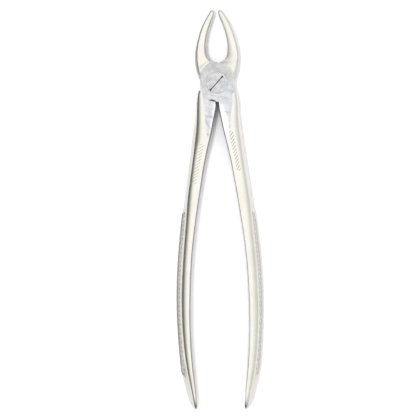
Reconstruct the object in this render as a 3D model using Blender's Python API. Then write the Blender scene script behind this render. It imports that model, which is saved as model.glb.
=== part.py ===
"""Dental extraction forceps for upper front teeth, in stainless steel.

Two levers cross in a lap joint and turn on one slotted screw.  Each lever is a beak, a half-depth
joint disc and a handle in one forging.  The rear lever is the front lever turned half a turn about
the long axis, so that the two halves of the joint lie face to face at mid depth.

Frame: the origin is on the screw's axis at the rear face, on which the forceps lie.  +Y points to
the beak tips, +X is the side that the front lever's handle opens to, and +Z is the front face.
"""

import math

import bmesh
import bpy
import numpy as np

MM = 0.001

# ---- driving dimensions, in millimetres --------------------------------------------------------

DEPTH = 10.0                # joint and grips, rear face to front face
MID = DEPTH / 2             # the lap face between the two levers
LAP_GAP = 0.1               # clearance between the two lap faces

DISC_RADIUS = 8.5           # half-depth joint disc
SHOULDER_RADIUS = 8.65      # recess that the other lever's disc turns in
DISC_HALF_WIDTH = 7.6       # the disc is flattened at both sides of the neck

SHANK_RADIUS = 3.0          # joint screw
BORE_RADIUS = 3.08          # running bore in the front lever
THREAD_RADIUS = 3.05        # tapped hole in the rear lever, at its pitch line
HEAD_RADIUS = 4.8
COUNTERBORE_RADIUS = 4.88
COUNTERBORE_DEPTH = 2.4
HEAD_SEAT_GAP = 0.1
SLOT_WIDTH = 0.65
SLOT_DEPTH = 1.1
SLOT_ANGLE = 48.0           # degrees from +X

BEAK_TIP_Y = 33.1
BEAK_TIP_ROUND = 1.6        # length over which the tip rounds off
BEAK_ROOT_Y = 2.9
HANDLE_ROOT_Y = -3.0
HANDLE_END_Y = -145.2
HANDLE_END_ROUND = 2.6

# Lip of each disc that closes the foot of the gap between the beaks: its rim, its back, its level.
LIP_RIM = [(0.5, 8.7), (0.0, 9.0), (-2.2, 9.25), (-4.0, 9.0)]
LIP_BACK_Y = 7.2
LIP_DROP = 0.15             # the lip lies a little under the ground front face
RAIL_SLOPE_WIDTH = 1.2      # slope between a handle's rail and its crease

BEAK_SPACING = 1.1          # between sections
HANDLE_SPACING = 4.2

ROUND_SEGMENTS = 64         # facets in a full turn of the joint
END_CAP = 0.06              # part of a rounded end's length that its flat cap takes

# ---- outlines, each a smooth curve through (y, value) points -----------------------------------

# Beak, distance from the centre line and half depth.
BEAK_INNER = [(2.9, 0.9), (8.6, 1.1), (9.4, 1.9), (11.4, 4.05), (13.4, 4.7), (16.0, 4.85), (19.0, 4.6),
              (25.6, 3.0), (31.4, 0.8), (33.1, 0.8)]
BEAK_OUTER = [(2.9, 8.25), (5.1, 8.9), (10.5, 9.65), (15.8, 9.2), (21.1, 7.9), (26.5, 5.85), (31.0, 3.25),
              (33.1, 2.3)]
BEAK_HALF_DEPTH = [(2.9, 4.7), (9.0, 4.7), (14.0, 4.3), (20.0, 3.8), (28.0, 3.2), (33.1, 2.7)]
BEAK_HOLLOW = [(2.9, 0.0), (12.0, 0.1), (19.0, 0.8), (29.0, 0.7), (33.1, 0.5)]

# Handle, distance from the centre line: the inner edge, the crease beside the front and rear rails,
# and the outermost line of the grip.
HANDLE_INNER = [(-3.0, 0.2), (-8.5, 0.25), (-20.7, 2.3), (-34.0, 5.3), (-47.4, 7.7), (-60.7, 9.75),
                (-74.1, 11.45), (-87.4, 12.45), (-103.0, 12.9), (-118.6, 12.45), (-134.2, 11.1),
                (-145.2, 10.2)]
HANDLE_CREASE = [(-3.0, 8.1), (-7.3, 8.9), (-20.7, 9.9), (-34.0, 11.35), (-47.4, 13.1), (-74.1, 15.8),
                 (-87.4, 16.75), (-103.0, 17.1), (-118.6, 16.2), (-134.2, 13.8), (-145.2, 11.8)]
HANDLE_OUTER = [(-3.0, 8.35), (-5.1, 8.75), (-11.8, 9.35), (-20.7, 10.6), (-34.0, 12.4), (-54.0, 15.0),
                (-60.7, 16.75), (-74.1, 18.3), (-87.4, 19.0), (-103.0, 19.25), (-118.6, 18.7),
                (-127.5, 17.8), (-134.2, 16.1), (-145.2, 12.3)]
HANDLE_HALF_DEPTH = [(-3.0, 5.0), (-24.0, 5.0), (-45.0, 4.75), (-85.0, 5.0), (-110.0, 5.0), (-130.0, 4.45),
                     (-145.2, 3.4)]
# Where the ground flat of the joint runs out on the handle, and how far the rail drops beyond it.
HANDLE_FLAT_EDGE = [(-3.0, 7.2), (-8.7, 5.8), (-19.8, 5.1), (-25.6, 4.3), (-30.0, 5.0)]
RAIL_DROP = [(-3.0, 0.5), (-12.0, 0.9), (-30.0, 0.7), (-145.2, 0.25)]
RAIL_STEP = [(-3.0, 0.8), (-12.0, 1.2), (-80.0, 1.4), (-130.0, 1.2), (-145.2, 0.3)]

STEEL = {"base_color": (0.80, 0.79, 0.76, 1.0), "roughness": 0.32, "metallic": 1.0}
SCREW_STEEL = {"base_color": (0.70, 0.70, 0.71, 1.0), "roughness": 0.28, "metallic": 1.0}


# ---- curves and stations -----------------------------------------------------------------------

def along(points, y):
    """Value at y of a smooth curve through points, which never swings past them.

    Each span is a cubic.  The slope at a point is the harmonic mean of the slopes of the chords on
    its two sides, or level where those chords turn back.
    """
    ordered = sorted(points)
    ys = np.array([p[0] for p in ordered])
    values = np.array([p[1] for p in ordered])
    chords = np.diff(values) / np.diff(ys)
    slopes = np.zeros(len(ys))
    slopes[0], slopes[-1] = chords[0], chords[-1]
    for i in range(1, len(ys) - 1):
        before, after = chords[i - 1], chords[i]
        if before * after > 0:
            slopes[i] = 2 * before * after / (before + after)
    y = min(max(y, ys[0]), ys[-1])
    span = min(int(np.searchsorted(ys, y, side="right")) - 1, len(ys) - 2)
    width = ys[span + 1] - ys[span]
    t = (y - ys[span]) / width
    return ((1 + 2 * t) * (1 - t) ** 2 * values[span] + t * t * (3 - 2 * t) * values[span + 1]
            + width * (t * (1 - t) ** 2 * slopes[span] + t * t * (t - 1) * slopes[span + 1]))


def stations(start, end, end_round, spacing):
    """Positions from start to end, evenly spaced, then closing up where the end rounds off."""
    direction = 1 if end > start else -1
    round_start = end - direction * end_round
    count = round(abs(round_start - start) / spacing) + 1
    straight = np.linspace(start, round_start, count)
    turns = np.radians([30.0, 55.0, 75.0, 90.0])
    return np.concatenate([straight, round_start + direction * end_round * np.sin(turns)])


# ---- cross-sections: closed loops of (distance from centre line, height) -----------------------

def mirrored_loop(half, end_distance, end_round):
    """A closed loop from its front half, which runs from mid depth inside to mid depth outside.

    Within end_round of the limb's end the loop draws in towards its centre on a quarter ellipse.
    """
    loop = half + [(u, 2 * MID - z) for u, z in reversed(half[1:-1])]
    if end_distance >= end_round:
        return loop
    scale = math.sqrt(1 - (1 - max(end_distance / end_round, END_CAP)) ** 2)
    centre = 0.5 * (half[0][0] + half[-1][0])
    return [(centre + scale * (u - centre), MID + scale * (z - MID)) for u, z in loop]


def beak_section(y):
    """A blade with a hollowed inner face, a crowned front edge and a rounded outer side."""
    inner = along(BEAK_INNER, y)
    outer = along(BEAK_OUTER, y)
    half_depth = along(BEAK_HALF_DEPTH, y)
    hollow = along(BEAK_HOLLOW, y)
    width = outer - inner
    side = min(0.38 * width, 1.7)
    lip = min(0.28 * width, 0.9)
    half = [(inner + hollow, MID),
            (inner + 0.75 * hollow, MID + 0.4 * half_depth),
            (inner, MID + half_depth - 1.2 * lip),
            (inner + 0.3 * lip, MID + half_depth - 0.35 * lip),
            (inner + lip, MID + half_depth),
            (outer - side, MID + half_depth)]
    for angle in (30.0, 60.0):
        turn = math.radians(angle)
        half.append((outer - side * (1 - math.sin(turn)),
                     MID + half_depth - side * (1 - math.cos(turn))))
    half.append((outer - 0.02 * side, MID + 0.45 * half_depth))
    half.append((outer, MID))
    return mirrored_loop(half, BEAK_TIP_Y - y, BEAK_TIP_ROUND)


def handle_section(y):
    """A rail along the front and rear edges, a crease beside each, and a bulging outer grip face."""
    inner = along(HANDLE_INNER, y)
    crease = along(HANDLE_CREASE, y)
    outer = along(HANDLE_OUTER, y)
    half_depth = along(HANDLE_HALF_DEPTH, y)
    drop = along(RAIL_DROP, y)
    step = along(RAIL_STEP, y)
    rail = crease - min(0.22 * (crease - inner), RAIL_SLOPE_WIDTH)
    bevel = 0.2 * (crease - inner)
    bevel_drop = min(bevel, 0.4 * half_depth)
    flat_edge = min(max(along(HANDLE_FLAT_EDGE, y), inner + 1.6 * bevel), rail - 0.4 * bevel)
    top = MID + half_depth
    shelf = top - drop - step
    half = [(inner, MID),
            (inner, MID + 0.45 * half_depth),
            (inner, top - bevel_drop),
            (inner + 0.3 * bevel, top - 0.3 * bevel_drop),
            (inner + bevel, top),
            (flat_edge, top),
            (0.5 * (flat_edge + rail), top - 0.3 * drop),
            (rail, top - drop),
            (crease, shelf)]
    for angle in (32.0, 60.0):
        turn = math.radians(angle)
        half.append((crease + (outer - crease) * math.sin(turn), MID + (shelf - MID) * math.cos(turn)))
    half.append((outer, MID))
    return mirrored_loop(half, y - HANDLE_END_Y, HANDLE_END_ROUND)


# ---- meshes ------------------------------------------------------------------------------------

def mesh_from_loops(name, loops):
    """A closed skin through rings of points, one ring per station, with a face at each end."""
    build = bmesh.new()
    rings = [[build.verts.new(np.array(point) * MM) for point in loop] for loop in loops]
    count = len(rings[0])
    for ring, following in zip(rings, rings[1:]):
        for i in range(count):
            j = (i + 1) % count
            build.faces.new((ring[i], ring[j], following[j], following[i]))
    build.faces.new(rings[0])
    build.faces.new(list(reversed(rings[-1])))
    bmesh.ops.recalc_face_normals(build, faces=build.faces)
    mesh = bpy.data.meshes.new(name)
    build.to_mesh(mesh)
    build.free()
    return mesh


def limb(name, section, ys, side):
    """A beak or a handle: its sections set at the given stations, on the +X or -X side."""
    loops = [[(side * u, y, z) for u, z in section(y)] for y in ys]
    return add_object(name, mesh_from_loops(name, loops))


def disc_outline(radius, half_width):
    """A circle about the screw's axis, flattened at x = +-half_width."""
    turns = np.arange(ROUND_SEGMENTS) * 2 * math.pi / ROUND_SEGMENTS
    limit = math.acos(half_width / radius) if half_width < radius else 0.0
    points = []
    for turn in turns:
        x = radius * math.cos(turn)
        if abs(x) <= half_width:
            points.append((x, radius * math.sin(turn), turn))
    if limit:
        for turn in (limit, math.pi - limit, math.pi + limit, 2 * math.pi - limit):
            points.append((radius * math.cos(turn), radius * math.sin(turn), turn))
    points.sort(key=lambda point: point[2])
    return [(x, y) for x, y, _ in points]


def prism(name, outline, low, high):
    """An outline in the XY plane, made solid between two heights."""
    loops = [[(x, y, z) for x, y in outline] for z in (low, high)]
    return add_object(name, mesh_from_loops(name, loops))


def round_bar(name, radius, low, high):
    """A cylinder on the screw's axis."""
    return prism(name, disc_outline(radius, radius), low, high)


def add_object(name, mesh):
    piece = bpy.data.objects.new(name, mesh)
    bpy.context.scene.collection.objects.link(piece)
    return piece


# ---- Boolean work ------------------------------------------------------------------------------

def combine(piece, tool, operation):
    """Adds a Boolean to piece and turns its other solid into a hidden guide."""
    modifier = piece.modifiers.new(operation.lower(), "BOOLEAN")
    modifier.operation = operation
    modifier.solver = "EXACT"
    modifier.object = tool
    tool.hide_render = True
    tool.display_type = "WIRE"
    tool.parent = piece


def steel(name, values):
    """A metal with the given colour and roughness."""
    material = bpy.data.materials.new(name)
    material.use_nodes = True
    shader = material.node_tree.nodes["Principled BSDF"]
    shader.inputs["Base Color"].default_value = values["base_color"]
    shader.inputs["Roughness"].default_value = values["roughness"]
    shader.inputs["Metallic"].default_value = values["metallic"]
    return material


def shade(piece, material):
    piece.data.materials.append(material)
    piece.data.shade_smooth()
    piece.data.set_sharp_from_angle(angle=math.radians(30))


# ---- the pieces --------------------------------------------------------------------------------

def lever_blank(name):
    """Beak on -X, half-depth disc in the front half, handle on +X; recessed for the other's disc."""
    handle_ys = stations(HANDLE_ROOT_Y, HANDLE_END_Y, HANDLE_END_ROUND, HANDLE_SPACING)
    beak_ys = stations(BEAK_ROOT_Y, BEAK_TIP_Y, BEAK_TIP_ROUND, BEAK_SPACING)
    disc = prism(name, disc_outline(DISC_RADIUS, DISC_HALF_WIDTH), MID + LAP_GAP / 2, DEPTH)
    lip = [(LIP_RIM[0][0], LIP_BACK_Y)] + LIP_RIM + [(LIP_RIM[-1][0], LIP_BACK_Y)]
    combine(disc, prism(name + "_lip", lip, MID + LAP_GAP / 2, DEPTH - LIP_DROP), "UNION")
    combine(disc, limb(name + "_beak", beak_section, beak_ys, -1), "UNION")
    combine(disc, limb(name + "_handle", handle_section, handle_ys, +1), "UNION")
    recess = round_bar(name + "_recess", SHOULDER_RADIUS, -1.0, MID + LAP_GAP / 2)
    combine(disc, recess, "DIFFERENCE")
    return disc


def front_lever(material):
    lever = lever_blank("front_lever")
    combine(lever, round_bar("running_bore", BORE_RADIUS, MID - 1, DEPTH + 1), "DIFFERENCE")
    counterbore = round_bar("counterbore", COUNTERBORE_RADIUS, DEPTH - COUNTERBORE_DEPTH, DEPTH + 1)
    combine(lever, counterbore, "DIFFERENCE")
    shade(lever, material)
    return lever


def rear_lever(material):
    """The front lever's shape turned half a turn about the Y axis at mid depth."""
    lever = lever_blank("rear_lever")
    combine(lever, round_bar("tapped_hole", THREAD_RADIUS, MID - 1, DEPTH + 1), "DIFFERENCE")
    lever.location = (0.0, 0.0, DEPTH * MM)
    lever.rotation_euler = (0.0, math.pi, 0.0)
    shade(lever, material)
    return lever


def joint_screw(material):
    """Flush slotted head, plain shank through the front lever, end flush with the rear face."""
    head_seat = DEPTH - COUNTERBORE_DEPTH + HEAD_SEAT_GAP
    screw = round_bar("joint_screw", SHANK_RADIUS, 0.0, head_seat + 0.5)
    combine(screw, round_bar("screw_head", HEAD_RADIUS, head_seat, DEPTH), "UNION")
    half_slot = HEAD_RADIUS + 0.5
    outline = [(-half_slot, -SLOT_WIDTH / 2), (half_slot, -SLOT_WIDTH / 2),
               (half_slot, SLOT_WIDTH / 2), (-half_slot, SLOT_WIDTH / 2)]
    slot = prism("screw_slot", outline, DEPTH - SLOT_DEPTH, DEPTH + 1)
    combine(screw, slot, "DIFFERENCE")
    slot.rotation_euler = (0.0, 0.0, math.radians(SLOT_ANGLE))
    shade(screw, material)
    return screw


def main():
    for piece in list(bpy.data.objects):
        bpy.data.objects.remove(piece)
    lever_steel = steel("satin_steel", STEEL)
    front_lever(lever_steel)
    rear_lever(lever_steel)
    joint_screw(steel("screw_steel", SCREW_STEEL))


main()
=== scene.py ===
"""Looks of the dental extraction forceps: two satin steel levers, a flush slotted screw, a white table.

Each lever is one forging.  Its beak and its handle are lofts of closed sections, its joint is a
half-depth disc about the screw's axis, and the whole is joined and then cut with the recess and the
bores.  The rear lever is the front lever's shape turned half a turn about the long axis.
All lengths are millimetres until a mesh is written, and all meshes are metres in the model's frame.
"""

import math

import bmesh
import bpy
import numpy as np
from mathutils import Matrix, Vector


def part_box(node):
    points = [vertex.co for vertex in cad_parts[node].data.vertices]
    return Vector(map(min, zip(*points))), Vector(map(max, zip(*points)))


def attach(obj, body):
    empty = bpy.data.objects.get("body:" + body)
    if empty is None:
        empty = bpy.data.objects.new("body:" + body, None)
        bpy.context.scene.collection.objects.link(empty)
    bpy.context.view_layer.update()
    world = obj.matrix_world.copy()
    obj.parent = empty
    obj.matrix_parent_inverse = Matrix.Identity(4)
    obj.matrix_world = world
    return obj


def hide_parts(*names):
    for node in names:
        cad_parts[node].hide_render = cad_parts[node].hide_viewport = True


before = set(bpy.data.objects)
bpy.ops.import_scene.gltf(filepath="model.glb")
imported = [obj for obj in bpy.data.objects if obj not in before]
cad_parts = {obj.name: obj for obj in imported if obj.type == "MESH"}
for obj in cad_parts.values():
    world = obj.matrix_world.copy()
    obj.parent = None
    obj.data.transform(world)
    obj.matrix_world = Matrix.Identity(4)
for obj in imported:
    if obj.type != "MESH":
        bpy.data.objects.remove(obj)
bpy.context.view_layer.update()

MM = 0.001

# ---- sizes that the joint is worked out from ---------------------------------------------------

joint_low, joint_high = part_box("joint_screw")
DEPTH = joint_high.z / MM           # rear face at 0, front face here
MID = DEPTH / 2
LAP_GAP = 0.1
LAP_Z = MID + LAP_GAP / 2           # lap face of the lever that has its disc in front
DISC_RADIUS = 8.56
DISC_OWN_SIDE = 7.45                # flat side of the disc towards the lever's own handle
DISC_FAR_SIDE = 7.18                # flat side towards its beak, turned FAR_SIDE_TURN degrees
FAR_SIDE_TURN = 192.6
SHOULDER_RADIUS = 8.66
HEAD_RADIUS = (joint_high.x - joint_low.x) / MM / 2
HEAD_HEIGHT = 2.3
SHANK_RADIUS = 3.0
COUNTERBORE_RADIUS = HEAD_RADIUS + 0.035

BEAK_TIP_Y = 33.1
BEAK_ROOT_Y = 2.4
BEAK_TIP_ROUND = 1.7
BEAK_TIP_DROOP = 2.0                # the tip's thickness rounds off over this length
FLOOR_RADIUS = 4.75                 # round foot of the gap between the beaks
FLOOR_Y = 9.0
BOSS_CENTRE = (-1.0, 0.65)          # the ground flat ends on the beak in an arc about this point
BOSS_RADIUS = 9.2
BOSS_BEVEL = 0.32                   # width of the polished bevel along that arc
BOSS_SLOPE = 0.12
BOSS_FALL = 0.34                    # slope from the bevel down to the beak's top face
BOSS_TOP_Y = 12.0
LIP_DROP = 0.42                     # fall of the rear lip, as a share of its width

HANDLE_ROOT_Y = -3.5
HANDLE_JOIN_Y = -16.0               # the block that is cut ends here, and the long handle begins
HANDLE_END_Y = -145.2
HANDLE_END_ROUND = 2.8
HANDLE_END_DROOP = 8.0              # the end's thickness rounds off over this length
CREASE_ANGLE = math.radians(46)     # slope that the front face has reached at the crease

# Cross-cut grip: two families of grooves that meet in long diamonds.
GRIP_LENGTHWISE = 4.0               # one diamond along the handle
GRIP_ROUND = 1.6                    # one diamond round the outer face
GRIP_STEPS = 12                     # grid steps in a diamond, both ways
GRIP_TOP_Y = -56.0
GRIP_FOOT_Y = -130.67
GRIP_DEPTH = 0.32
GRIP_HALF_ARC = 27                  # grid steps from the middle of the outer face to the grip's edge
GRIP_MARGIN = 7                     # columns from the crease to the grip's edge


# ---- curves ------------------------------------------------------------------------------------

def curve(points):
    """A function of y: the natural cubic spline through (y, value) points.

    The second derivatives m solve h0 m0 + 2 (h0 + h1) m1 + h1 m2 = 6 (chord1 - chord0) at each inner
    point, with none at the two ends, and y is held between the first and the last point.
    """
    ys, values = np.array(sorted(points), dtype=float).T
    steps = np.diff(ys)
    chords = np.diff(values) / steps
    system = np.eye(len(ys))
    target = np.zeros(len(ys))
    for i in range(1, len(ys) - 1):
        system[i, i - 1:i + 2] = steps[i - 1], 2 * (steps[i - 1] + steps[i]), steps[i]
        target[i] = 6 * (chords[i] - chords[i - 1])
    bends = np.linalg.solve(system, target)

    def value(y):
        y = np.clip(y, ys[0], ys[-1])
        span = np.clip(np.searchsorted(ys, y, side="right") - 1, 0, len(ys) - 2)
        step = steps[span]
        after = (y - ys[span]) / step
        before = 1 - after
        return (before * values[span] + after * values[span + 1]
                + step ** 2 / 6 * ((before ** 3 - before) * bends[span]
                                   + (after ** 3 - after) * bends[span + 1]))

    return value


def steady(points):
    """A function of y through (y, value) points that never swings past them.

    Each span is a cubic whose slope at a point is the harmonic mean of its two chords' slopes, or
    level where the chords turn back.
    """
    ys, values = np.array(sorted(points), dtype=float).T
    steps = np.diff(ys)
    chords = np.diff(values) / steps
    before, after = chords[:-1], chords[1:]
    same_way = before * after > 0
    both = np.where(same_way, before + after, 1.0)
    slopes = np.concatenate([chords[:1], np.where(same_way, 2 * before * after / both, 0.0), chords[-1:]])

    def value(y):
        y = np.clip(y, ys[0], ys[-1])
        span = np.clip(np.searchsorted(ys, y, side="right") - 1, 0, len(ys) - 2)
        t = (y - ys[span]) / steps[span]
        return ((1 + 2 * t) * (1 - t) ** 2 * values[span] + t * t * (3 - 2 * t) * values[span + 1]
                + steps[span] * t * (1 - t) * ((1 - t) * slopes[span] - t * slopes[span + 1]))

    return value


def ease(y, start, end):
    """0 at start, 1 at end, smooth between: 3 t^2 - 2 t^3."""
    t = np.clip((y - start) / (end - start), 0, 1)
    return t * t * (3 - 2 * t)


beak_inner_side = curve([(13.75, 4.75), (16.0, 4.9), (19.0, 4.65), (22.5, 3.95), (25.6, 3.0),
                         (28.5, 1.95), (31.4, 0.85), (33.1, 0.75)])
beak_outer = curve([(2.4, 8.0), (5.1, 8.9), (7.8, 9.4), (10.5, 9.65), (13.1, 9.6), (15.8, 9.2),
                    (21.1, 7.9), (26.5, 5.85), (29.8, 3.95), (31.5, 3.0), (33.1, 2.3)])
beak_half_depth = steady([(2.4, 4.75), (9.0, 4.7), (14.0, 4.35), (20.0, 3.85), (28.0, 3.2), (33.1, 2.7)])
beak_hollow = steady([(2.4, 0.0), (11.0, 0.1), (15.0, 0.5), (19.0, 0.8), (29.0, 0.7), (33.1, 0.4)])
# Rounding between the front edge and the inner face of the beak, on its front and on its rear face.
lip_front = steady([(2.4, 1.2), (8.0, 1.3), (12.0, 1.3), (24.0, 1.0), (33.1, 0.5)])
lip_rear = steady([(2.4, 4.8), (10.5, 4.3), (12.5, 3.3), (15.0, 2.3), (19.5, 1.5), (24.0, 1.1),
                   (33.1, 0.5)])

handle_inner = curve([(-2.6, 0.2), (-8.5, 0.3), (-12.0, 0.7), (-16.2, 1.5), (-20.7, 2.4), (-25.1, 3.35),
                      (-34.0, 5.35), (-47.4, 7.7), (-60.7, 9.8), (-74.1, 11.5), (-87.4, 12.48),
                      (-103.0, 12.9), (-118.6, 12.48), (-134.2, 11.2), (-145.2, 10.3)])
handle_crease = curve([(-2.6, 8.0), (-7.3, 8.8), (-16.2, 9.2), (-25.1, 10.15), (-34.0, 11.25),
                       (-42.9, 12.55), (-51.8, 13.85), (-60.7, 14.65), (-74.1, 15.85), (-87.4, 16.8),
                       (-103.0, 17.15), (-114.1, 16.7), (-127.5, 15.2), (-136.4, 13.35), (-145.2, 11.8)])
# How far the outer face stands out past the crease, without and with the grip.
handle_bulge = curve([(-2.6, 0.2), (-7.3, 0.35), (-16.2, 0.85), (-34.0, 1.25), (-60.0, 1.15),
                      (-100.0, 1.5), (-127.5, 1.6), (-136.4, 1.95), (-141.7, 1.3), (-145.2, 0.4)])
grip_swell = steady([(-52.0, 0.0), (-54.5, 0.1), (-58.5, 0.75), (-64.0, 1.0), (-75.0, 0.95),
                     (-100.0, 0.55), (-120.0, 0.7), (-127.5, 0.7), (-131.0, 0.3), (-135.0, 0.0)])
handle_half_depth = steady([(-2.6, 5.0), (-16.0, 5.0), (-26.0, 4.98), (-45.0, 4.75), (-65.0, 4.85),
                            (-85.0, 4.98), (-110.0, 4.95), (-130.0, 4.45), (-145.2, 3.8)])
# How much further in the crease lies on the lever's rear face.
crease_inset_rear = steady([(-2.6, 0.0), (-40.0, 0.0), (-60.0, 0.15), (-90.0, 0.2), (-112.0, 0.4),
                            (-125.0, 0.6), (-136.0, 0.5), (-145.2, 0.4)])
# Share of the front face, from its inner side, that stays nearly flat before it rolls over.
plateau_share = steady([(-2.6, 0.25), (-16.2, 0.3), (-34.0, 0.45), (-51.8, 0.3), (-60.7, 0.2),
                        (-74.1, 0.1), (-96.0, 0.0), (-145.2, 0.0)])
draft = steady([(-2.6, 0.05), (-16.0, 0.05), (-30.0, 0.1), (-120.0, 0.1), (-145.2, 0.05)])
# Ground flat and inner bevel of a handle, on the lever's front face and on its rear face.
flat_edge_front = steady([(-2.6, 7.75), (-5.6, 7.3), (-7.3, 6.9), (-9.1, 6.5), (-12.7, 6.05), (-16.2, 5.7),
                          (-20.0, 5.5), (-27.0, 5.6), (-34.0, 6.9)])
flat_edge_rear = steady([(-2.6, 6.9), (-5.6, 6.4), (-7.3, 6.1), (-9.1, 5.8), (-12.7, 5.6), (-16.2, 5.4),
                         (-19.8, 5.1), (-25.6, 4.5), (-34.0, 6.4)])
bevel_front = steady([(-7.5, 0.1), (-9.5, 1.0), (-12.0, 1.8), (-16.0, 2.5), (-20.0, 2.2), (-25.0, 1.4),
                      (-32.0, 0.5), (-145.2, 0.15)])
bevel_rear = steady([(-8.0, 0.1), (-12.0, 0.5), (-25.0, 0.4), (-60.0, 0.15), (-145.2, 0.15)])


# ---- parts of a section ------------------------------------------------------------------------
# A section's half runs from mid depth on the inner side, over the front edge, to mid depth on the
# outer side.  Every stretch is an array (stations, points, 2) of distance from the centre line and
# height above mid depth.

def stretch(start, end, count, rise=None):
    """Points from start to end, the last one left out; rise(t) bends the straight line's height."""
    t = np.linspace(0, 1, count, endpoint=False)
    (u0, h0), (u1, h1) = start, end
    u = u0[:, None] + (u1 - u0)[:, None] * t
    share = t if rise is None else rise(t)
    h = h0[:, None] + (h1 - h0)[:, None] * share
    return np.stack([u, h], axis=2)


def quarter(start, end, count, rising):
    """A quarter ellipse from start to end, the last point left out.

    Rising: it leaves start straight up and reaches end level.  Falling: it leaves start level and
    reaches end straight down.
    """
    turn = np.linspace(0, math.pi / 2, count, endpoint=False)
    (u0, h0), (u1, h1) = start, end
    across = 1 - np.cos(turn) if rising else np.sin(turn)
    up = np.sin(turn) if rising else 1 - np.cos(turn)
    return np.stack([u0[:, None] + (u1 - u0)[:, None] * across,
                     h0[:, None] + (h1 - h0)[:, None] * up], axis=2)


def closed_loops(front, rear, y, side):
    """Joins a front half and a rear half, each with its end point, into closed loops in space."""
    loop = np.concatenate([front, (rear * (1, -1))[:, -2:0:-1]], axis=1)
    u, h = loop[..., 0], np.clip(loop[..., 1], -MID, MID)
    return np.stack([side * u, np.broadcast_to(y[:, None], u.shape), MID + h], axis=2)


def round_off(loops, distance, reach, height_reach):
    """Draws loops in to their middle near a limb's end: scale sqrt(1 - (1 - distance / reach)^2)."""
    reaches = np.array([reach, reach, height_reach])
    near = np.clip(distance[:, None] / reaches, 0.0, 1.0)
    scale = np.sqrt(np.maximum(1 - (1 - near) ** 2, 0.0009))
    low, high = loops.min(axis=1, keepdims=True), loops.max(axis=1, keepdims=True)
    middle = (low + high) / 2
    middle[..., 2] = MID
    return middle + (loops - middle) * scale[:, None, :]


# ---- beak --------------------------------------------------------------------------------------

def beak_inner(y):
    """Inner edge: a circle about (0, FLOOR_Y + FLOOR_RADIUS) round the foot, then the side's curve."""
    centre = FLOOR_Y + FLOOR_RADIUS
    foot = np.sqrt(np.maximum(FLOOR_RADIUS ** 2 - (centre - y) ** 2, 0))
    return np.where(y > centre, beak_inner_side(y), np.maximum(foot, 1.0))


def past_boss(u, y):
    """Distance beyond the arc that ends the ground flat, negative inside it."""
    return np.hypot(u - BOSS_CENTRE[0], y - BOSS_CENTRE[1]) - BOSS_RADIUS


def boss_edge(y, reach):
    """Where, at each y, the arc of the ground flat grown by reach lies."""
    radius = BOSS_RADIUS + reach
    return BOSS_CENTRE[0] + np.sqrt(np.maximum(radius ** 2 - (y - BOSS_CENTRE[1]) ** 2, 0))


def lip_fall(u, y, inner, lip):
    """How far the sloped lip of the rear face lies below its top, by distance from the inner edge.

    With a the distance as a share of the lip's width it is LIP_DROP lip (1 - 1.45 a + 0.45 a^2).  Round
    the foot of the gap the distance is taken from the foot's arc.
    """
    below = np.maximum(FLOOR_Y + FLOOR_RADIUS - y, 0)[:, None]
    distance = np.where(below > 0, np.hypot(u, below) - FLOOR_RADIUS, u - inner[:, None])
    a = np.clip(distance / lip[:, None], 0, 1)
    return LIP_DROP * lip[:, None] * (1 - 1.45 * a + 0.45 * a ** 2)


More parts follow.
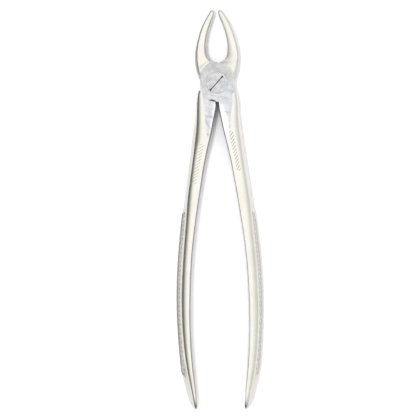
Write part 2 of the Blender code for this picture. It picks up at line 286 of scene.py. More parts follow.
def beak_half(y, lip_width, boss):
    """Half section of the beak: hollowed inner face, lip, top face, rounded shoulder, outer side.

    The top face falls to the outer side as the square of the way across it.  With boss it rises near
    the joint: level inside the boss's arc, then down by BOSS_SLOPE over the bevel and by BOSS_FALL past
    it, as far as the top face.  Two columns of the grid follow the bevel's two edges.  Without boss the
    lip is sloped, and it widens round the foot of the gap.
    """
    inner, outer, top, hollow = beak_inner(y), beak_outer(y), beak_half_depth(y), beak_hollow(y)
    width = outer - inner
    lip = np.minimum(lip_width(y), 0.6 * width)
    start = inner + lip
    if not boss:
        below = np.maximum(FLOOR_Y + FLOOR_RADIUS - y, 0)
        arc_end = np.sqrt(np.maximum((FLOOR_RADIUS + lip) ** 2 - below ** 2, 0))
        start = np.where(below > 0, np.clip(arc_end, inner + 0.3, outer - 0.35 * width), start)
    shoulder = np.minimum(0.45 * (outer - start), 1.7)
    end = outer - shoulder
    room = end - start
    bevel_start = np.clip(boss_edge(y, 0.0), start + 0.35 * room, end - 0.12 * room)
    bevel_end = np.clip(boss_edge(y, BOSS_BEVEL), bevel_start + 0.04 * room, end - 0.04 * room)
    across = [np.linspace(0, 1, count, endpoint=False) for count in (9, 5, 8)]
    spans = [(start, bevel_start), (bevel_start, bevel_end), (bevel_end, end)]
    u = np.concatenate([p[:, None] + (q - p)[:, None] * t for (p, q), t in zip(spans, across)]
                       + [end[:, None]], axis=1)
    h = top[:, None] - 0.03 * width[:, None] * ((u - start[:, None]) / room[:, None]) ** 2
    if boss:
        past = np.maximum(past_boss(u, y[:, None]), 0)
        raised = MID - BOSS_SLOPE * np.minimum(past, BOSS_BEVEL)
        raised -= BOSS_FALL * np.maximum(past - BOSS_BEVEL, 0)
        h = np.maximum(h, np.where(y[:, None] < BOSS_TOP_Y, raised, 0))
    else:
        h = h - lip_fall(u, y, inner, lip)
    level = np.zeros_like(y)
    lip_top, shoulder_top = h[:, 0], h[:, -1]
    lip_foot = lip_top - 1.1 * lip if boss else top - LIP_DROP * lip
    face = np.stack([u, h], axis=2)
    shoulder_foot = shoulder_top - 1.25 * shoulder
    inside = stretch((inner, level), (inner, lip_foot), 10)
    rise = (inside[..., 1] / lip_foot[:, None]) ** 2
    inside[..., 0] += hollow[:, None] * np.clip(1 - rise, 0, 1)
    if boss:
        lip_skin = quarter((inner, lip_foot), (start, lip_top), 14, rising=True)
    else:
        lip_skin = stretch((inner, lip_foot), (start, lip_top), 18)
        lip_skin[..., 1] = top[:, None] - lip_fall(lip_skin[..., 0], y, inner, lip)
    return np.concatenate([
        inside,
        lip_skin,
        face[:, :-1],
        quarter((end, shoulder_top), (outer, shoulder_foot), 14, rising=False),
        stretch((outer, shoulder_foot), (outer, level), 6),
        np.stack([outer, level], axis=1)[:, None, :]], axis=1)


def beak(name):
    """The beak's skin on the -X side, from its root face to the rounded tip."""
    ends = BEAK_TIP_Y - BEAK_TIP_ROUND
    turns = np.radians(np.linspace(0, 88, 12))
    y = np.concatenate([np.linspace(BEAK_ROOT_Y, BOSS_TOP_Y, 60), np.linspace(BOSS_TOP_Y, ends, 50)[1:],
                        ends + BEAK_TIP_ROUND * np.sin(turns)[1:]])
    loops = closed_loops(beak_half(y, lip_front, boss=True), beak_half(y, lip_rear, boss=False), y, -1)
    return skin(name, round_off(loops, BEAK_TIP_Y - y, BEAK_TIP_ROUND, BEAK_TIP_DROOP))


# ---- handle ------------------------------------------------------------------------------------

def handle_edges(y, bevel_width):
    """The inner face's foot and top, the rounded edge's end and the bevel's end, from the centre line."""
    inner = handle_inner(y)
    width = handle_crease(y) - inner
    foot = inner + np.minimum(draft(y), 0.15 * width)
    edge = foot + np.minimum(0.14 * width, 0.5)
    return inner, foot, edge, edge + np.minimum(bevel_width(y), 0.36 * width)


def handle_half(y, flat_edge, bevel_width, crease_inset):
    """Half section of the handle.

    Inner face leaning back by its draft, rounded inner edge, shallow bevel, ground flat, the rolled
    front face, the crease, and the outer face.  The front face's slope angle grows evenly from the end of
    its plateau to the crease, which lies crease_inset further in, and its height is the sum of the slopes.
    """
    inner, foot, edge, start = handle_edges(y, bevel_width)
    outer = handle_crease(y) + handle_bulge(y) + grip_swell(y)
    crease, top = handle_crease(y) - crease_inset, handle_half_depth(y)
    near_joint = 1 - ease(-y, 20, 34)
    width = crease - inner
    round_up = edge - foot
    bevel_fall = (start - edge) * 0.13
    flat = np.clip(flat_edge(y), start + 0.03 * width, crease - 0.25 * width)
    level = np.zeros_like(y)

    share = np.linspace(0, 1, 36)
    plateau = plateau_share(y)[:, None]
    first = np.radians(2.5 + 5.5 * near_joint)[:, None]
    past = np.clip((share - plateau) / (1 - plateau), 0, 1)
    steepness = np.tan(first + (CREASE_ANGLE - first) * past)
    steps = (steepness[:, 1:] + steepness[:, :-1]) / 2 * (share[1] - share[0])
    fall = np.concatenate([0 * first, np.cumsum(steps, axis=1)], axis=1) * (crease - flat)[:, None]
    rolled = np.stack([flat[:, None] + (crease - flat)[:, None] * share, top[:, None] - fall], axis=2)
    shelf = rolled[:, -1, 1]

    half = np.concatenate([
        stretch((inner, level), (foot, top - bevel_fall - 1.8 * round_up), 8),
        quarter((foot, top - bevel_fall - 1.8 * round_up), (edge, top - bevel_fall), 9, rising=True),
        stretch((edge, top - bevel_fall), (start, top), 8, rise=lambda t: 1 - (1 - t) ** 1.6),
        stretch((start, top), (flat, top), 4),
        rolled[:, :-1]], axis=1)
    return half, outer_face(y, crease, outer, shelf)


def outer_face(y, crease, outer, shelf):
    """The outer face from the crease to mid depth, cut with the grip.

    It is a Bezier curve that leaves the crease steeply and ends upright.  The columns of the grip
    stand at fixed steps of arc from mid depth, so that the grooves run along the grid's diagonals.
    The cut goes square to the quarter ellipse with the same two ends.
    """
    bulge = outer - crease
    arc = math.pi / 2 * np.sqrt((bulge ** 2 + shelf ** 2) / 2)
    step = GRIP_ROUND / GRIP_STEPS
    steps = np.arange(GRIP_HALF_ARC, -1, -1)
    squeeze = np.minimum(1, 0.8 * arc / (GRIP_HALF_ARC * step))
    from_middle = squeeze[:, None] * steps * step
    turn = math.pi / 2 * (1 - from_middle / arc[:, None])
    margin = np.linspace(0, 1, GRIP_MARGIN, endpoint=False) * turn[:, :1]
    turn = np.concatenate([margin, turn], axis=1)
    share = turn / (math.pi / 2)
    steep = np.minimum(np.radians(62), np.arctan2(shelf, bulge))
    reach = 0.33 * np.hypot(bulge, shelf)
    knots_u = [crease, crease + reach * np.cos(steep), outer, outer]
    knots_h = [shelf, shelf - reach * np.sin(steep), 0.33 * shelf, 0 * shelf]
    weights = [(1 - share) ** 3, 3 * share * (1 - share) ** 2, 3 * share ** 2 * (1 - share), share ** 3]
    u = sum(w * k[:, None] for w, k in zip(weights, knots_u))
    h = sum(w * k[:, None] for w, k in zip(weights, knots_h))

    sine, cosine = np.sin(turn), np.cos(turn)
    across = np.hypot(shelf[:, None] * sine, bulge[:, None] * cosine)
    cut = np.zeros_like(turn)
    cut[:, GRIP_MARGIN:] = grip_cut(y[:, None], steps[None, :] * step)
    u = u - cut * shelf[:, None] * sine / across
    h = h - cut * bulge[:, None] * cosine / across
    return np.stack([u, h], axis=2), cut


def grip_cut(y, around):
    """Depth of the cross-cut grip at a place on the outer face, fading out at all four edges.

    A diamond's height is the lesser of two triangle waves, one for each family of grooves.
    """
    def grooves(phase):
        return 2 * np.abs(phase - np.floor(phase) - 0.5)

    lengthwise = y / GRIP_LENGTHWISE
    first = grooves(lengthwise + around / GRIP_ROUND)
    second = grooves(lengthwise - around / GRIP_ROUND)
    diamond = np.minimum(1, 1.35 * np.minimum(first, second))
    ends = ease(-y, -GRIP_TOP_Y, -GRIP_TOP_Y + 2.5) * (1 - ease(-y, -GRIP_FOOT_Y - 2.5, -GRIP_FOOT_Y))
    sides = 1 - ease(around, (GRIP_HALF_ARC - 3) * GRIP_ROUND / GRIP_STEPS,
                     GRIP_HALF_ARC * GRIP_ROUND / GRIP_STEPS)
    return GRIP_DEPTH * (1 - diamond) * ends * sides


def handle_loops(y):
    """Closed sections of the handle on the +X side, and how deep the grip is cut at each point."""
    front, (front_face, cut) = handle_half(y, flat_edge_front, bevel_front, 0.0)
    rear, (rear_face, _) = handle_half(y, flat_edge_rear, bevel_rear, crease_inset_rear(y))
    front = np.concatenate([front, front_face], axis=1)
    rear = np.concatenate([rear, rear_face], axis=1)
    loops = closed_loops(front, rear, y, +1)
    plain = np.zeros((len(y), front.shape[1] - cut.shape[1]))
    cut = np.concatenate([plain, cut], axis=1)
    cut = np.concatenate([cut, cut[:, -2:0:-1]], axis=1)
    return round_off(loops, y - HANDLE_END_Y, HANDLE_END_ROUND, HANDLE_END_DROOP), cut


def long_handle():
    """Stations from the joint block to the end: sparse, then one per grid step of the grip."""
    per_mm = GRIP_STEPS / GRIP_LENGTHWISE
    grip = np.arange(round(-GRIP_TOP_Y * per_mm), round(-GRIP_FOOT_Y * per_mm) + 1) / -per_mm
    end_start = HANDLE_END_Y + HANDLE_END_ROUND
    turns = np.radians(np.linspace(0, 88, 14))
    y = np.concatenate([np.linspace(HANDLE_JOIN_Y, GRIP_TOP_Y, 60)[:-1], grip,
                        np.linspace(GRIP_FOOT_Y, end_start, 28)[1:],
                        end_start - HANDLE_END_ROUND * np.sin(turns)[1:]])
    return handle_loops(y)


# ---- writing and joining meshes ----------------------------------------------------------------

def write_mesh(name, points, faces):
    """A mesh in metres from points in millimetres and a list of faces."""
    mesh = bpy.data.meshes.new(name)
    mesh.from_pydata((np.asarray(points) * MM).tolist(), [], faces)
    mesh.update()
    piece = bpy.data.objects.new(name, mesh)
    bpy.context.scene.collection.objects.link(piece)
    return piece


def grid_faces(rows, columns, first=0, turned=False):
    """Quads between the rings of a grid whose columns close on themselves."""
    i, j = np.meshgrid(np.arange(rows - 1), np.arange(columns), indexing="ij")
    a = first + i * columns + j
    b = first + i * columns + (j + 1) % columns
    quads = np.stack([a, b, b + columns, a + columns], axis=2).reshape(-1, 4)
    return quads[:, ::-1] if turned else quads


def is_inside_out(loops):
    """True if quads taken in ring order would face inwards: the sign of the first ring's turn."""
    ring, following = loops[0], loops[1]
    area = np.cross(ring, np.roll(ring, -1, axis=0)).sum(axis=0)
    return float(area @ (following - ring).mean(axis=0)) < 0


def skin(name, loops):
    """A closed solid through rings of points, with a flat face at each end."""
    rows, columns = loops.shape[:2]
    inside_out = is_inside_out(loops)
    faces = grid_faces(rows, columns, turned=inside_out).tolist()
    first = list(range(columns))
    last = list(range((rows - 1) * columns, rows * columns))
    faces.append(first if inside_out else first[::-1])
    faces.append(last[::-1] if inside_out else last)
    return write_mesh(name, loops.reshape(-1, 3), faces)


def turned_solid(name, profile, segments=160, outline=None):
    """A profile of (radius, height) carried round the screw's axis; outline scales radius by angle."""
    angles = np.arange(segments) * 2 * math.pi / segments
    radii = np.array([r for r, _ in profile])[:, None]
    heights = np.array([z for _, z in profile])[:, None]
    shape = np.ones(segments) if outline is None else outline(angles)
    x = radii * shape * np.cos(angles)
    y = radii * shape * np.sin(angles)
    loops = np.stack([x, y, np.broadcast_to(heights, x.shape)], axis=2)
    return skin(name, loops)


def combine(piece, tool, operation):
    """Joins or cuts piece with tool, writes the result into piece and removes the tool."""
    modifier = piece.modifiers.new("combine", "BOOLEAN")
    modifier.operation = operation
    modifier.solver = "EXACT"
    modifier.object = tool
    graph = bpy.context.evaluated_depsgraph_get()
    result = bpy.data.meshes.new_from_object(piece.evaluated_get(graph))
    piece.modifiers.clear()
    old = piece.data
    piece.data = result
    bpy.data.meshes.remove(old)
    bpy.data.objects.remove(tool)


# ---- joint -------------------------------------------------------------------------------------

def disc_outline(angles, relief=0.10):
    """The disc's edge as a share of its radius.

    A circle blended with two straight sides, one across +X and one across the direction
    FAR_SIDE_TURN, and relieved in the fork by a hump of cosine shape.
    """
    sharpness = 26.0
    own = np.maximum(np.cos(angles), 1e-3) / DISC_OWN_SIDE
    far = np.maximum(np.cos(angles - math.radians(FAR_SIDE_TURN)), 1e-3) / DISC_FAR_SIDE
    blended = (1 + (own * DISC_RADIUS) ** sharpness + (far * DISC_RADIUS) ** sharpness) ** (-1 / sharpness)
    off = np.clip((np.degrees(angles) % 360 - 256.0) / 13.0, -1, 1)
    return blended - relief * np.cos(off * math.pi / 2)


def recess_outline(angles):
    """What the other lever's disc sweeps as the joint opens, as a share of SHOULDER_RADIUS.

    The other disc is this one turned half a turn, so its edge at angle a is this one's at 180 - a.
    """
    swept = [disc_outline(math.pi - angles - math.radians(turn), relief=0.0) for turn in range(0, 35, 2)]
    return (np.max(swept, axis=0) * DISC_RADIUS + 0.06) / SHOULDER_RADIUS


def joint_disc(name):
    """Half-depth disc whose front edge is worn to a soft bevel towards the other lever's beak.

    The bevel's width is the wear, 0.05 and a hump of squared cosine about 35 degrees, up to 0.6 high.
    Its profile is a rounded edge given as shares of the wear, back from the rim and down from the face.
    """
    angles = np.arange(240) * 2 * math.pi / 240
    rim = disc_outline(angles) * DISC_RADIUS
    off = (np.degrees(angles) - 35.0 + 180) % 360 - 180
    worn = 0.05 + 0.6 * np.cos(np.clip(off / 62, -1, 1) * math.pi / 2) ** 2
    level = np.zeros_like(angles)
    foot_bevel = 0.12
    rings = [(rim - foot_bevel, level + LAP_Z), (rim, level + LAP_Z + foot_bevel),
             (rim, DEPTH - 0.03 - 0.44 * worn)]
    rounded = [(0.0, 0.36), (0.35, 0.17), (0.7, 0.05), (1.0, 0.0)]
    rings += [(rim - back * worn, DEPTH - down * worn) for back, down in rounded]
    loops = [np.stack([radius * np.cos(angles), radius * np.sin(angles), z], axis=1) for radius, z in rings]
    return skin(name, np.array(loops))


def floor_lip(name):
    """Closes the foot of the gap between the beaks on the lever's own half of the joint.

    The profile is a wall with a rounded top edge, carried along the foot's arc from just past the
    centre line to the lever's own beak.
    """
    centre = FLOOR_Y + FLOOR_RADIUS
    x = np.linspace(0.7, -3.4, 24)
    y = centre - np.sqrt(FLOOR_RADIUS ** 2 - x ** 2)
    turn = np.radians(np.linspace(0, 90, 8))
    edge, thickness = 0.7, 2.2
    back = np.concatenate([[0.0], edge * (1 - np.cos(turn)), [thickness, thickness]])
    z = np.concatenate([[LAP_Z], DEPTH - edge * (1 - np.sin(turn)), [DEPTH, LAP_Z]])
    shape = (len(x), len(z))
    loops = np.stack([np.broadcast_to(x[:, None], shape), y[:, None] - back,
                      np.broadcast_to(z, shape)], axis=2)
    return skin(name, loops)


def joint_block(name, bore):
    """Disc, beak and handle root in one, cut with the recess for the other disc and with the bore."""
    block = joint_disc(name)
    combine(block, floor_lip("lip"), "UNION")
    combine(block, beak("beak"), "UNION")
    root_y = np.linspace(HANDLE_ROOT_Y, HANDLE_JOIN_Y, 40)
    combine(block, skin("root", handle_loops(root_y)[0]), "UNION")
    recess = [(SHOULDER_RADIUS, -1.0), (SHOULDER_RADIUS, LAP_Z)]
    combine(block, turned_solid("recess", recess, 240, recess_outline), "DIFFERENCE")
    combine(block, turned_solid("bore", bore, 96), "DIFFERENCE")
    return block


def sharp_edges(mesh):
    """Marks edges between faces more than 24 degrees apart, and all round the ground faces."""
    mesh.shade_smooth()
    mesh.set_sharp_from_angle(angle=math.radians(24))
    count = len(mesh.polygons)
    normals = np.empty(count * 3)
    centres = np.empty(count * 3)
    mesh.polygons.foreach_get("normal", normals)
    mesh.polygons.foreach_get("center", centres)
    normals, centres = normals.reshape(-1, 3), centres.reshape(-1, 3)
    height = centres[:, 2] / MM
    on_face = (np.abs(height - DEPTH) < 0.002) | (np.abs(height) < 0.002)
    ground = on_face & (np.abs(normals[:, 2]) > 0.99999) & (centres[:, 1] > -0.05)
    starts = np.empty(count, dtype=np.int32)
    totals = np.empty(count, dtype=np.int32)
    mesh.polygons.foreach_get("loop_start", starts)
    mesh.polygons.foreach_get("loop_total", totals)
    edges = np.empty(len(mesh.loops), dtype=np.int32)
    mesh.loops.foreach_get("edge_index", edges)
    owner = np.repeat(np.arange(count), totals)
    ground_sides = np.bincount(edges, weights=ground[owner], minlength=len(mesh.edges))
    sides = np.bincount(edges, minlength=len(mesh.edges))
    sharp = np.empty(len(mesh.edges), dtype=bool)
    layer = mesh.attributes.get("sharp_edge") or mesh.attributes.new("sharp_edge", "BOOLEAN", "EDGE")
    layer.data.foreach_get("value", sharp)
    sharp |= (ground_sides > 0) & (ground_sides < sides)
    layer.data.foreach_set("value", sharp)


def polish_and_highlight_share(points):
    """Where a lever's colour is brightened, as polish and as a painted highlight: the handle's front bevel
    and the bevel round the boss.
    """
    x, y, z = points.T
    _, _, edge, start = handle_edges(y, bevel_front)
    bevel = ease(x, edge - 0.3, edge) * (1 - ease(x, start - 0.5, start + 0.6))
    bevel *= ease(-y, 9, 10.5) * (1 - ease(-y, 20, 29)) * (z > DEPTH - 1.0)
    _, _, edge, start = handle_edges(y, bevel_rear)
    rear_bevel = ease(x, edge - 0.4, edge - 0.1) * (1 - ease(x, start, start + 0.3))
    bevel = np.maximum(bevel, 0.6 * rear_bevel * (z < 1.0) * ease(-y, 7, 8) * (1 - ease(-y, 20, 29)))
    past = past_boss(-x, y)
    arc = ease(past, -0.02, 0.02) * (1 - ease(past, BOSS_BEVEL, BOSS_BEVEL + 0.1)) * (y > 2) * (z > MID + 3)
    return np.maximum(bevel, 0.6 * arc * (x < 0))


def joint_shade_share(points):
    """Painted shade on a lever where the other one's disc lies over its lap face, and in its fork.

    The fork is the part between the handles, below y = -4 and inside x = 5.5.
    """
    x, y, z = points.T
    covered = disc_outline(math.pi - np.arctan2(y, x), relief=0.0) * DISC_RADIUS
    covered += 1.2 * ease(-y, 3, 5) * (x < 5.5)
    radius = np.hypot(x, y)
    return 0.95 * (1 - ease(radius - covered, -0.5, 0.1)) * (z > 0.02) * (z < MID + 0.1)


def edge_shade_share(points):
    """Painted shade on edges and sides, standing in for their shade and dark reflections.

    They are a handle's rounded inner edge, its outer face, the inner side of its end, and a beak's
    outer side.
    """
    x, y, z = points.T
    _, _, edge, _ = handle_edges(y, bevel_front)
    inner_edge = np.where(z > MID, 0.12, 0.7) * (1 - ease(x, edge - 0.15, edge + 0.1)) * ease(-y, 9, 16)
    outer_side = 0.08 * ease(x - handle_crease(y), -0.1, 0.1)
    end = 0.75 * (1 - ease(y, HANDLE_END_Y + 1.0, HANDLE_END_Y + 6.5))
    end *= 1 - ease(x - handle_inner(y), 0.3, 1.0)
    handle = np.maximum(inner_edge, np.maximum(outer_side, end)) * (x > 0)
    from_side = beak_outer(y) + x
    beak_side = np.where(z > MID, 0.6, 0.3) * (1 - ease(from_side, 0.35, 0.75)) * (x < 0) * ease(y, 1, 4)
    return np.maximum(handle, beak_side)


def set_attribute(mesh, name, values):
    """Stores one value per point for the material to read."""
    layer = mesh.attributes.new(name, "FLOAT", "POINT")
    layer.data.foreach_set("value", np.asarray(values, dtype=np.float32))


def lever(name, bore, half_turn):
    """A whole lever: the joint block with its join face taken off, and the long handle sewn on.

    The handle's first ring takes the block's own points at the join, found as the nearest ones.
    With half_turn, x becomes -x and z becomes DEPTH - z, which turns the lever to the rear.
    """
    block = joint_block(name + "_block", bore)
    mesh = block.data
    points = np.empty(len(mesh.vertices) * 3)
    mesh.vertices.foreach_get("co", points)
    points = points.reshape(-1, 3) / MM
    at_join = np.abs(points[:, 1] - HANDLE_JOIN_Y) < 1e-4
    faces = [list(f.vertices) for f in mesh.polygons if not all(at_join[v] for v in f.vertices)]
    bpy.data.objects.remove(block)

    loops, cut = long_handle()
    rows, columns = loops.shape[:2]
    inside_out = is_inside_out(loops)
    quads = grid_faces(rows, columns, first=len(points), turned=inside_out)
    ring = np.flatnonzero(at_join)
    gaps = np.linalg.norm(points[ring][None] - loops[0][:, None], axis=2)
    index = np.arange(len(points) + rows * columns)
    index[len(points):len(points) + columns] = ring[gaps.argmin(axis=1)]
    quads = index[quads].tolist()
    cap = list(range(len(points) + (rows - 1) * columns, len(points) + rows * columns))
    if inside_out:
        cap = cap[::-1]
    everything = np.concatenate([points, loops.reshape(-1, 3)])
    # bevels brightened, partly polish and partly a painted highlight
    polish_and_highlight = polish_and_highlight_share(everything)
    # painted shade: darkening of the joint's gap, the fork and some edges and sides
    painted_shade = np.maximum(joint_shade_share(everything), edge_shade_share(everything))
    if half_turn:
        everything = everything * (-1, 1, -1) + (0, 0, DEPTH)
    piece = write_mesh(name, everything, faces + quads + [cap])
    depth = np.concatenate([np.zeros(len(points)), cut.reshape(-1) / GRIP_DEPTH])
    set_attribute(piece.data, "grip_depth", depth)
    set_attribute(piece.data, "polish_and_highlight", polish_and_highlight)
    set_attribute(piece.data, "painted_shade", painted_shade)
    remove_loose(piece.data)
    sharp_edges(piece.data)
    return piece


def remove_loose(mesh):
    """Deletes the points that no face uses: the ones that the sewn ring replaced."""
    build = bmesh.new()
    build.from_mesh(mesh)
    loose = [v for v in build.verts if not v.link_faces]
    for v in loose:
        build.verts.remove(v)
    build.to_mesh(mesh)
    build.free()


# ---- screw -------------------------------------------------------------------------------------

def joint_screw():
    """Flush head with a fine bevel, plain shank, slot worn wider at both ends."""
    head_seat = DEPTH - HEAD_HEIGHT
    profile = [(SHANK_RADIUS - 0.15, 0.0), (SHANK_RADIUS, 0.15), (SHANK_RADIUS, head_seat),
               (HEAD_RADIUS - 0.1, head_seat), (HEAD_RADIUS, head_seat + 0.1),
               (HEAD_RADIUS, DEPTH - 0.04), (HEAD_RADIUS - 0.04, DEPTH)]
    screw = turned_solid("flush_joint_screw", profile, 160)
    combine(screw, screw_slot(), "DIFFERENCE")
    sharp_edges(screw.data)
    return screw


def screw_slot():
    """The slot: half width 0.14 in the middle, worn wider at both ends, with a floor that dips there."""
    along_slot = np.linspace(-4.9, 3.75, 60)
    worn = np.abs((along_slot + 0.55) / 4.35) ** 7
    half_width = 0.14 + 0.34 * worn
    floor = DEPTH - 0.9 - 0.5 * worn
    level = np.full(60, DEPTH)
    flared = half_width + 0.12
    across = np.stack([-0.6 * half_width, 0.6 * half_width, half_width, flared, flared,
                       -flared, -flared, -half_width], axis=1)
    height = np.stack([floor, floor, level - 0.1, level + 0.001, level + 1, level + 1, level + 0.001,
                       level - 0.1], axis=1)
    turn = math.radians(48.0)
    x = along_slot[:, None] * math.cos(turn) - across * math.sin(turn)
    y = along_slot[:, None] * math.sin(turn) + across * math.cos(turn)
    return skin("slot", np.stack([x, y, height], axis=2))


# ---- materials ---------------------------------------------------------------------------------

class Nodes:
    """Short ways to add and join shader nodes."""

    def __init__(self, name):
        self.material = bpy.data.materials.new(name)
        self.material.use_nodes = True
        self.tree = self.material.node_tree
        self.shader = self.tree.nodes["Principled BSDF"]

    def add(self, kind, **inputs):
        node = self.tree.nodes.new(kind)
        for key, value in inputs.items():
            self.feed(node, key, value)
        return node

    def feed(self, node, key, value):
        socket = node.inputs[int(key[1:]) if key[1:].isdigit() else key.replace("_", " ")]
        if isinstance(value, bpy.types.NodeSocket):
            self.tree.links.new(value, socket)
        else:
            socket.default_value = value

    def maths(self, operation, *values):
        node = self.tree.nodes.new("ShaderNodeMath")
        node.operation = operation
        for i, value in enumerate(values):
            self.feed(node, f"i{i}", value)
        return node.outputs[0]

    def blend(self, share, first, second):
        node = self.tree.nodes.new("ShaderNodeMix")
        node.data_type = "RGBA"
        self.feed(node, "i0", share)
        self.feed(node, "i6", first)
        self.feed(node, "i7", second)
        return node.outputs[2]

    def noise(self, place, scale, detail=3.0, roughness=0.5, stretch_by=(1, 1, 1), turn=0.0):
        mapping = self.add("ShaderNodeMapping", Vector=place)
        mapping.vector_type = "TEXTURE"
        mapping.inputs["Scale"].default_value = [1 / share for share in stretch_by]
        mapping.inputs["Rotation"].default_value = (0, 0, turn)
        node = self.add("ShaderNodeTexNoise", Vector=mapping.outputs[0], Scale=scale, Detail=detail,
                        Roughness=roughness)
        return node.outputs[0]

    def ramp(self, value, low, high):
        node = self.tree.nodes.new("ShaderNodeMapRange")
        node.interpolation_type = "SMOOTHSTEP"
        self.feed(node, "Value", value)
        self.feed(node, "From_Min", low)
        self.feed(node, "From_Max", high)
        return node.outputs[0]


def hatched_band(n, x, y, z, start, length, lean, strength):
    """An etched band of slanting strokes down the front face, lean degrees off the long axis.

    s is the way along the band and t the way across it.  The strokes are where s + t comes to a
    multiple of the pitch.
    """
    pitch, half_width = 0.0015, 0.00085
    c, d = math.cos(math.radians(lean)), math.sin(math.radians(lean))
    dx = n.maths("SUBTRACT", x, start[0])
    dy = n.maths("SUBTRACT", start[1], y)
    s = n.maths("ADD", n.maths("MULTIPLY", dx, d), n.maths("MULTIPLY", dy, c))
    t = n.maths("SUBTRACT", n.maths("MULTIPLY", dx, c), n.maths("MULTIPLY", dy, d))
    place = n.maths("FRACT", n.maths("DIVIDE", n.maths("ADD", s, t), pitch))
    mark = n.ramp(n.maths("ABSOLUTE", n.maths("SUBTRACT", place, 0.5)), 0.26, 0.38)
    inside = n.maths("MULTIPLY", n.maths("GREATER_THAN", s, 0.0), n.maths("LESS_THAN", s, length))
    across = n.ramp(n.maths("ABSOLUTE", t), half_width + 0.00007, half_width - 0.00007)
    inside = n.maths("MULTIPLY", inside, across)
    front = n.maths("GREATER_THAN", z, 0.008)
    return n.maths("MULTIPLY", n.maths("MULTIPLY", mark, inside), n.maths("MULTIPLY", front, strength))


def lever_steel():
    """Warm satin forging steel; the joint's ground faces are cooler, with scratches every way."""
    n = Nodes("satin_forged_steel")
    place = n.add("ShaderNodeTexCoord").outputs["Object"]
    split = n.add("ShaderNodeSeparateXYZ", Vector=place)
    x, y, z = split.outputs

    front = n.ramp(z, (DEPTH - 0.03) * MM, (DEPTH - 0.005) * MM)
    rear = n.ramp(z, 0.03 * MM, 0.005 * MM)
    near = n.ramp(y, -0.034, -0.027)
    ground = n.maths("MULTIPLY", n.maths("MAXIMUM", front, rear), near)

    cloud = n.noise(place, 90.0, 4.0, 0.6)
    grain = n.noise(place, 1500.0, 3.0, 0.6, stretch_by=(1.0, 0.15, 1.0))
    warm = n.blend(n.ramp(cloud, 0.3, 0.7), (0.585, 0.560, 0.495, 1), (0.610, 0.592, 0.540, 1))
    smudge = n.ramp(n.noise(place, 420.0, 6.0, 0.7), 0.36, 0.64)
    upper = n.ramp(y, -0.012, 0.008)
    light_grey = n.blend(upper, (0.535, 0.547, 0.575, 1), (0.465, 0.46, 0.455, 1))
    dark_grey = n.blend(upper, (0.455, 0.46, 0.48, 1), (0.36, 0.355, 0.35, 1))
    cool = n.blend(smudge, dark_grey, light_grey)
    colour = n.blend(ground, warm, cool)
    polish_and_highlight = n.add("ShaderNodeAttribute")
    polish_and_highlight.attribute_name = "polish_and_highlight"
    # polished bevels: brighter colour, partly polish and partly a painted highlight
    colour = n.blend(polish_and_highlight.outputs["Fac"], colour, (0.70, 0.70, 0.70, 1))

    scratches = 0.0
    for turn, scale in ((0.5, 700.0), (1.35, 620.0), (2.4, 800.0)):
        line = n.noise(place, scale, 2.0, 0.5, stretch_by=(1.0, 0.04, 1.0), turn=turn)
        scratches = n.maths("ADD", scratches, n.ramp(line, 0.60, 0.70))
    scratches = n.maths("MULTIPLY", n.maths("MINIMUM", scratches, 1.0), ground)
    colour = n.blend(n.maths("MULTIPLY", scratches, 0.6), colour, (0.24, 0.24, 0.25, 1))
    grip = n.add("ShaderNodeAttribute")
    grip.attribute_name = "grip_depth"
    # painted shade in the grip's grooves
    groove_shade = n.maths("MULTIPLY", n.ramp(grip.outputs["Fac"], 0.25, 0.9), 0.25)
    colour = n.blend(groove_shade, colour, (0.17, 0.165, 0.155, 1))
    for start, lean, strength in (((0.0058, -0.0214), 11.0, 0.75), ((-0.0070, -0.0270), -11.5, 0.45)):
        band = hatched_band(n, x, y, z, start, 0.0180, lean, strength)
        colour = n.blend(band, colour, (0.24, 0.235, 0.22, 1))
    # painted shade: near-black in the joint's gap, the fork, and on edges and sides that would lie in shade
    painted_shade = n.add("ShaderNodeAttribute")
    painted_shade.attribute_name = "painted_shade"
    colour = n.blend(painted_shade.outputs["Fac"], colour, (0.10, 0.097, 0.09, 1))
    n.feed(n.shader, "Base Color", colour)

    roughness = n.maths("MULTIPLY_ADD", grain, 0.08, 0.13)
    roughness = n.maths("MULTIPLY_ADD", ground, 0.12, roughness)
    roughness = n.maths("MULTIPLY_ADD", smudge, 0.04, roughness)
    n.feed(n.shader, "Roughness", roughness)
    n.shader.inputs["Metallic"].default_value = 1.0

    relief = n.maths("MULTIPLY_ADD", scratches, -1.2, n.maths("MULTIPLY", grain, 0.3))
    bump = n.add("ShaderNodeBump", Height=relief)
    bump.inputs["Strength"].default_value = 0.12
    bump.inputs["Distance"].default_value = 0.00003
    n.feed(n.shader, "Normal", bump.outputs[0])
    return n.material


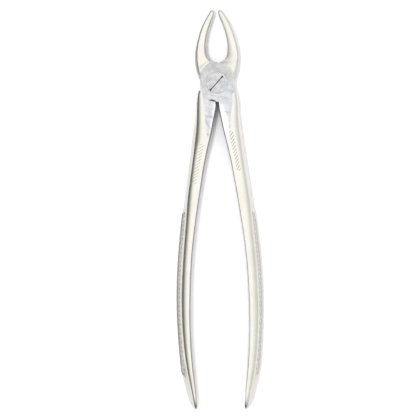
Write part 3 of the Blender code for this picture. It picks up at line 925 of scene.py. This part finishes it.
def screw_steel():
    """Ground with the joint face: cool steel with scratches; dirt darkens the slot."""
    n = Nodes("ground_screw_steel")
    place = n.add("ShaderNodeTexCoord").outputs["Object"]
    z = n.add("ShaderNodeSeparateXYZ", Vector=place).outputs[2]
    smudge = n.ramp(n.noise(place, 480.0, 6.0, 0.7), 0.36, 0.64)
    colour = n.blend(smudge, (0.37, 0.365, 0.37, 1), (0.50, 0.50, 0.515, 1))
    lines = n.ramp(n.noise(place, 900.0, 2.0, 0.5, stretch_by=(1.0, 0.05, 1.0), turn=0.9), 0.62, 0.72)
    colour = n.blend(n.maths("MULTIPLY", lines, 0.3), colour, (0.26, 0.26, 0.27, 1))
    in_slot = n.ramp(z, (DEPTH - 0.03) * MM, (DEPTH - 0.14) * MM)
    above_seat = n.ramp(z, (DEPTH - 2.2) * MM, (DEPTH - 2.0) * MM)
    colour = n.blend(n.maths("MULTIPLY", in_slot, above_seat), colour, (0.10, 0.09, 0.08, 1))
    n.feed(n.shader, "Base Color", colour)
    n.feed(n.shader, "Roughness", n.maths("MULTIPLY_ADD", smudge, 0.06, 0.27))
    n.shader.inputs["Metallic"].default_value = 1.0
    bump = n.add("ShaderNodeBump", Height=lines)
    bump.inputs["Strength"].default_value = 0.12
    bump.inputs["Distance"].default_value = 0.00003
    n.feed(n.shader, "Normal", bump.outputs[0])
    return n.material


def table_white():
    """Matt white with a breath of blue."""
    n = Nodes("white_table")
    n.shader.inputs["Base Color"].default_value = (0.85, 0.855, 0.88, 1)
    n.shader.inputs["Roughness"].default_value = 0.9
    n.shader.inputs["Specular IOR Level"].default_value = 0.1
    return n.material


# ---- stage -------------------------------------------------------------------------------------

def aimed(kind, name, place, target, **values):
    """A light at place (metres) that faces target."""
    data = bpy.data.lights.new(name, kind)
    for key, value in values.items():
        setattr(data, key, value)
    light = bpy.data.objects.new(name, data)
    bpy.context.scene.collection.objects.link(light)
    light.location = place
    direction = Vector(target) - Vector(place)
    light.rotation_euler = direction.to_track_quat("-Z", "Y").to_euler()
    return light


def stage():
    """White table, one soft light high on the left, and a surround that darkens towards the horizon."""
    reach = 6.0
    drop = -0.00002
    floor_mesh = bpy.data.meshes.new("table")
    floor_mesh.from_pydata([(-reach, -reach, drop), (reach, -reach, drop), (reach, reach, drop),
                            (-reach, reach, drop)], [], [(0, 1, 2, 3)])
    floor = bpy.data.objects.new("table", floor_mesh)
    bpy.context.scene.collection.objects.link(floor)
    floor_mesh.materials.append(table_white())

    middle = (0.0, -0.055, 0.0)
    key = aimed("AREA", "overhead_light", (-0.145, -0.03, 0.80), middle, energy=3.2, shape="RECTANGLE",
                size=0.11, size_y=0.11, color=(1.0, 0.99, 0.97))
    key.visible_glossy = False
    surround()
    bpy.context.scene.view_settings.view_transform = "Standard"


def surround():
    """Radiance by direction: white overhead, falling near the horizon, most of all on the left."""
    overhead, left_horizon, right_horizon = 1.65, 0.19, 1.05
    world = bpy.data.worlds.new("surround")
    bpy.context.scene.world = world
    world.use_nodes = True
    tree = world.node_tree
    direction = tree.nodes.new("ShaderNodeTexCoord").outputs["Object"]
    split = tree.nodes.new("ShaderNodeSeparateXYZ")
    tree.links.new(direction, split.inputs[0])

    def map_range(value, from_min, from_max, to_min, to_max):
        node = tree.nodes.new("ShaderNodeMapRange")
        node.interpolation_type = "SMOOTHSTEP"
        tree.links.new(value, node.inputs["Value"])
        node.inputs["From Min"].default_value = from_min
        node.inputs["From Max"].default_value = from_max
        node.inputs["To Min"].default_value = to_min
        node.inputs["To Max"].default_value = to_max
        return node

    lean = tree.nodes.new("ShaderNodeVectorMath")
    lean.operation = "DOT_PRODUCT"
    tree.links.new(direction, lean.inputs[0])
    lean.inputs[1].default_value = (0.88, 0.47, 0.0)
    low = map_range(lean.outputs["Value"], -0.75, 0.8, left_horizon, right_horizon).outputs[0]
    height = map_range(split.outputs["Z"], 0.22, 1.0, 0.0, 1.0).outputs[0]
    mix = tree.nodes.new("ShaderNodeMix")
    tree.links.new(height, mix.inputs[0])
    tree.links.new(low, mix.inputs[2])
    mix.inputs[3].default_value = overhead
    background = tree.nodes["Background"]
    background.inputs["Color"].default_value = (0.985, 0.99, 1.0, 1)
    tree.links.new(mix.outputs[0], background.inputs["Strength"])


def camera():
    """Straight above, turned a little about the line of sight."""
    data = bpy.data.cameras.new("camera")
    data.lens = 120.0
    data.sensor_width = 36.0
    piece = bpy.data.objects.new("camera", data)
    bpy.context.scene.collection.objects.link(piece)
    frame_width = 0.1851
    distance = frame_width * data.lens / data.sensor_width
    piece.location = (-0.00465, -0.05535, distance + MID * MM)
    piece.rotation_euler = (0, 0, math.radians(-0.67))
    data.clip_start = 0.01
    bpy.context.scene.camera = piece


# ---- the object --------------------------------------------------------------------------------

camera()
stage()

# The front lever's bore: chamfer at the lap face, plain hole, seat of the head, chamfer at the front.
seat = DEPTH - HEAD_HEIGHT - 0.1
front_bore = [(SHANK_RADIUS + 0.2, MID - 1), (SHANK_RADIUS + 0.08, MID + 0.2),
              (SHANK_RADIUS + 0.08, seat), (COUNTERBORE_RADIUS, seat),
              (COUNTERBORE_RADIUS, DEPTH - 0.03), (COUNTERBORE_RADIUS + 1.03, DEPTH + 1)]
rear_bore = [(SHANK_RADIUS + 0.05, MID - 1), (SHANK_RADIUS + 0.05, DEPTH - 0.2),
             (SHANK_RADIUS + 1.25, DEPTH + 1)]

steel = lever_steel()
front = lever("forged_front_lever", front_bore, half_turn=False)
front.data.materials.append(steel)
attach(front, "front")
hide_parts("front_lever")

rear = lever("forged_rear_lever", rear_bore, half_turn=True)
rear.data.materials.append(steel)
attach(rear, "rear")
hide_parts("rear_lever")

screw = joint_screw()
screw.data.materials.append(screw_steel())
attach(screw, "rear")
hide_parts("joint_screw")
